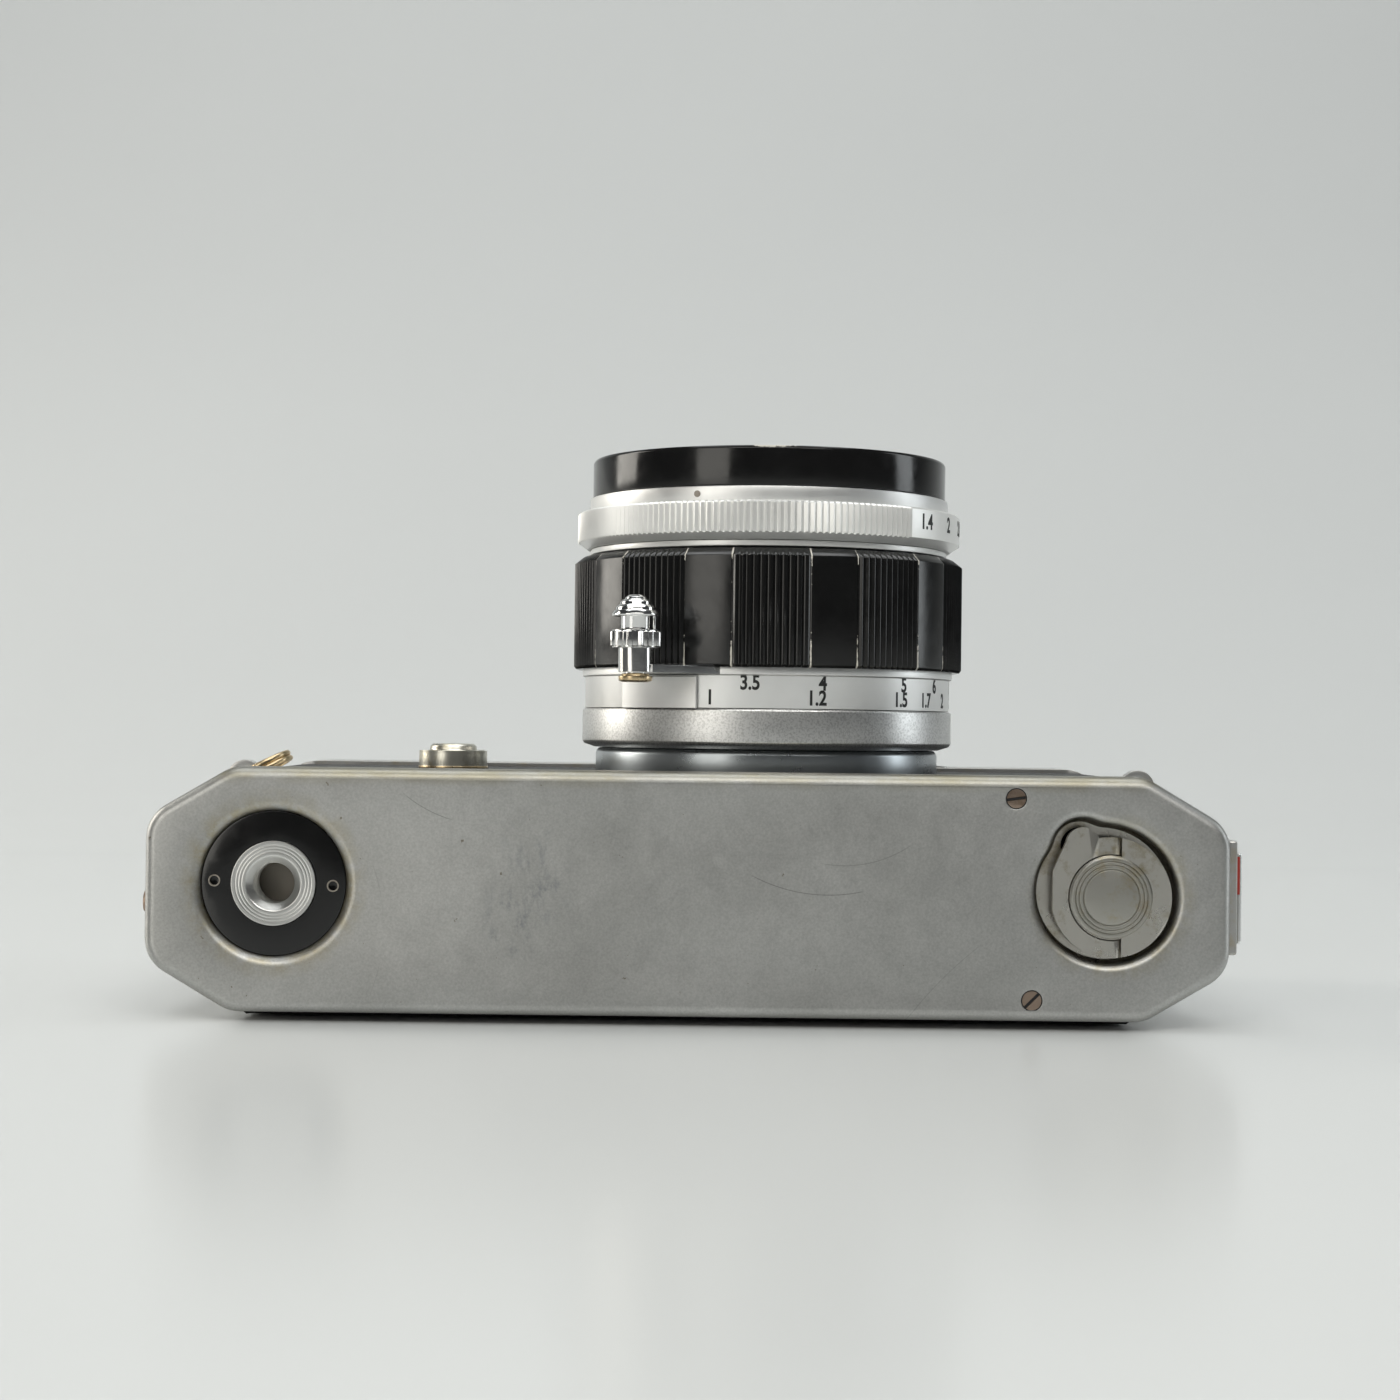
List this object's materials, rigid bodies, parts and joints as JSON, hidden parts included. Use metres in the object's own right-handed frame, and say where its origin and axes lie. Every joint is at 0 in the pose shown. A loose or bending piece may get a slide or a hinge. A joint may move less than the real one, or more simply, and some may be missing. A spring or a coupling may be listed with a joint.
{
  "type": "rangefinder film camera",
  "caption": "Classic 35 mm rangefinder film camera lying on its back, with its fast standard screw-mount lens pointing up.",
  "frame": {"origin": "middle of the flat back face that the camera rests on", "axes": "+X towards the rewind end, +Y from the base plate towards the top cover, +Z out of the lens"},
  "size_m": [0.1452, 0.081, 0.0762],
  "materials": {
    "satin_chrome": "fine satin chrome plate",
    "bright_chrome": "polished chrome",
    "black_ring": "gloss black lacquer",
    "black_paint": "gloss black enamel, worn at the edges",
    "satin_silver": "satin anodised aluminium",
    "casting_black": "matt black die casting",
    "film_metal": "ground steel",
    "curtain": "matt black foil",
    "leatherette": "black pebbled leatherette",
    "nickel_screw": "nickel plated brass, worn",
    "clear_glass": "clear coated glass",
    "meter_cell_window": "ribbed clear plastic",
    "inner_black": "matt black",
    "brass_ring": "worn nickel over brass"
  },
  "bodies": {
    "chassis": {"base_plate": "satin_chrome", "body_casting": "casting_black", "body_mount": "bright_chrome", "case_screws": "nickel_screw", "curtain_drums": "film_metal", "eyepiece": "black_ring", "eyepiece_lens": "clear_glass", "film_gate": "film_metal", "finder_prisms": "clear_glass", "finder_windows": "clear_glass", "front_leatherette": "leatherette", "hinge_pin": "film_metal", "infinity_catch": "satin_chrome", "key_cup": "satin_chrome", "latch_plate": "satin_chrome", "lens_base_ring": "satin_chrome", "meter_scale_glass": "clear_glass", "meter_window": "meter_cell_window", "meter_works": "inner_black", "shutter_crate": "inner_black", "shutter_curtain": "curtain", "strap_lugs": "bright_chrome", "supply_chamber": "casting_black", "take_up_chamber": "casting_black", "top_chassis": "film_metal", "top_cover": "satin_chrome", "tripod_bush": "bright_chrome", "tripod_ring": "black_ring"},
    "key": {"key_body": "satin_chrome"},
    "key_flap": {"key_flap": "satin_chrome"},
    "take_up_spool": {"take_up_spool": "inner_black"},
    "film_sprocket": {"film_sprocket": "film_metal"},
    "back_door": {"back_door": "satin_chrome", "door_leatherette": "leatherette", "pressure_plate": "black_paint", "pressure_springs": "film_metal"},
    "latch_slider": {"latch_slider": "bright_chrome"},
    "strap_ring_left": {"strap_ring_left": "brass_ring"},
    "strap_ring_right": {"strap_ring_right": "brass_ring"},
    "meter_needle": {"meter_needle": "black_ring"},
    "wind_lever": {"wind_lever": "bright_chrome"},
    "frame_counter": {"frame_counter": "black_ring"},
    "shutter_button": {"shutter_button": "bright_chrome"},
    "release_collar": {"release_collar": "satin_chrome"},
    "speed_dial": {"speed_dial": "satin_chrome"},
    "frame_selector": {"frame_selector": "satin_chrome"},
    "rewind_knob": {"rewind_knob": "satin_chrome"},
    "rewind_crank": {"rewind_crank": "bright_chrome"},
    "self_timer": {"self_timer": "bright_chrome"},
    "focus": {"distance_ring": "satin_silver", "focus_ring": "black_paint", "lock_arm": "bright_chrome"},
    "lock_button": {"lock_button": "bright_chrome"},
    "front_group": {"front_barrel": "satin_silver", "index_band": "satin_silver", "filter_rim": "black_paint", "name_ring": "black_ring", "front_element": "clear_glass", "rear_element": "clear_glass"},
    "aperture_ring": {"aperture_ring": "satin_silver"}
  },
  "joints": [
    {"name": "focus_turn", "type": "hinge", "parent": "chassis", "child": "focus", "pos_m": [0.01082, -0.004, 0.046], "axis": [0, 0, 1], "range_deg": [0, 178]},
    {"name": "front_extend", "type": "slide", "parent": "chassis", "child": "front_group", "axis": [0, 0, 1], "range_m": [0, 0.0026]},
    {"name": "aperture_turn", "type": "hinge", "parent": "front_group", "child": "aperture_ring", "pos_m": [0.01082, -0.004, 0.066], "axis": [0, 0, 1], "range_deg": [0, 110]},
    {"name": "lock_press", "type": "slide", "parent": "focus", "child": "lock_button", "axis": [0, 0, -1], "range_m": [0, 0.0017], "stiffness_N_per_m": 200, "springref_m": -0.002},
    {"name": "wind_stroke", "type": "hinge", "parent": "chassis", "child": "wind_lever", "pos_m": [-0.054, 0.036, 0.017], "axis": [0, 1, 0], "range_deg": [0, 180], "stiffness_Nm_per_rad": 0.004, "springref_deg": -34.38},
    {"name": "spool_turn", "type": "hinge", "parent": "chassis", "child": "take_up_spool", "pos_m": [-0.052, 0, 0.017], "axis": [0, 1, 0], "range_deg": [0, 300]},
    {"name": "sprocket_turn", "type": "hinge", "parent": "chassis", "child": "film_sprocket", "pos_m": [-0.0325, 0, 0.0121], "axis": [0, 1, 0], "range_deg": [0, 360]},
    {"name": "counter_turn", "type": "hinge", "parent": "chassis", "child": "frame_counter", "pos_m": [-0.043, 0.033, 0.008], "axis": [0, 1, 0], "range_deg": [0, 9]},
    {"name": "shutter_release", "type": "slide", "parent": "chassis", "child": "shutter_button", "axis": [0, -1, 0], "range_m": [0, 0.0018], "stiffness_N_per_m": 300, "springref_m": -0.002},
    {"name": "collar_turn", "type": "hinge", "parent": "chassis", "child": "release_collar", "pos_m": [-0.0365, 0.036, 0.0225], "axis": [0, 1, 0], "range_deg": [0, 40]},
    {"name": "speed_turn", "type": "hinge", "parent": "chassis", "child": "speed_dial", "pos_m": [-0.0225, 0.037, 0.017], "axis": [0, 1, 0], "range_deg": [0, 330]},
    {"name": "selector_turn", "type": "hinge", "parent": "chassis", "child": "frame_selector", "pos_m": [0.0335, 0.039, 0.019], "axis": [0, 1, 0], "range_deg": [0, 160]},
    {"name": "rewind_turn", "type": "hinge", "parent": "chassis", "child": "rewind_knob", "pos_m": [0.05457, 0.036, 0.0171], "axis": [0, 1, 0], "continuous": true},
    {"name": "crank_flip", "type": "hinge", "parent": "rewind_knob", "child": "rewind_crank", "pos_m": [0.05407, 0.039, 0.0171], "axis": [0, 0, 1], "range_deg": [0, 150]},
    {"name": "timer_swing", "type": "hinge", "parent": "chassis", "child": "self_timer", "pos_m": [-0.0342, -0.0025, 0.034], "axis": [0, 0, 1], "range_deg": [0, 180]},
    {"name": "door_swing", "type": "hinge", "parent": "chassis", "child": "back_door", "pos_m": [-0.0683, 0, 0.0082], "axis": [0, 1, 0], "range_deg": [0, 100]},
    {"name": "latch_slide", "type": "slide", "parent": "chassis", "child": "latch_slider", "axis": [0, 1, 0], "range_m": [0, 0.0032], "stiffness_N_per_m": 60, "springref_m": -0.003},
    {"name": "key_turn", "type": "hinge", "parent": "chassis", "child": "key", "pos_m": [0.05457, -0.039, 0.0171], "axis": [0, -1, 0], "range_deg": [0, 40]},
    {"name": "flap_lift", "type": "hinge", "parent": "key", "child": "key_flap", "pos_m": [0.0552, -0.03975, 0.0171], "axis": [0, 0, 1], "range_deg": [0, 100]},
    {"name": "ring_swing_left", "type": "hinge", "parent": "chassis", "child": "strap_ring_left", "pos_m": [-0.0693, 0.0255, 0.02995], "axis": [0, -1, 0], "range_deg": [0, 130]},
    {"name": "ring_swing_right", "type": "hinge", "parent": "chassis", "child": "strap_ring_right", "pos_m": [0.0693, 0.0255, 0.02995], "axis": [0, -1, 0], "range_deg": [0, 140]},
    {"name": "needle_swing", "type": "hinge", "parent": "chassis", "child": "meter_needle", "pos_m": [0.011, 0.037, 0.0155], "axis": [0, 1, 0], "range_deg": [0, 40]}
  ],
  "couplings": [
    {"joint": "front_extend", "follows": "focus_turn", "m_per_rad": 0.00083607},
    {"joint": "sprocket_turn", "follows": "wind_stroke", "ratio": 2},
    {"joint": "spool_turn", "follows": "wind_stroke", "ratio": 1.6},
    {"joint": "counter_turn", "follows": "wind_stroke", "ratio": 0.05}
  ]
}
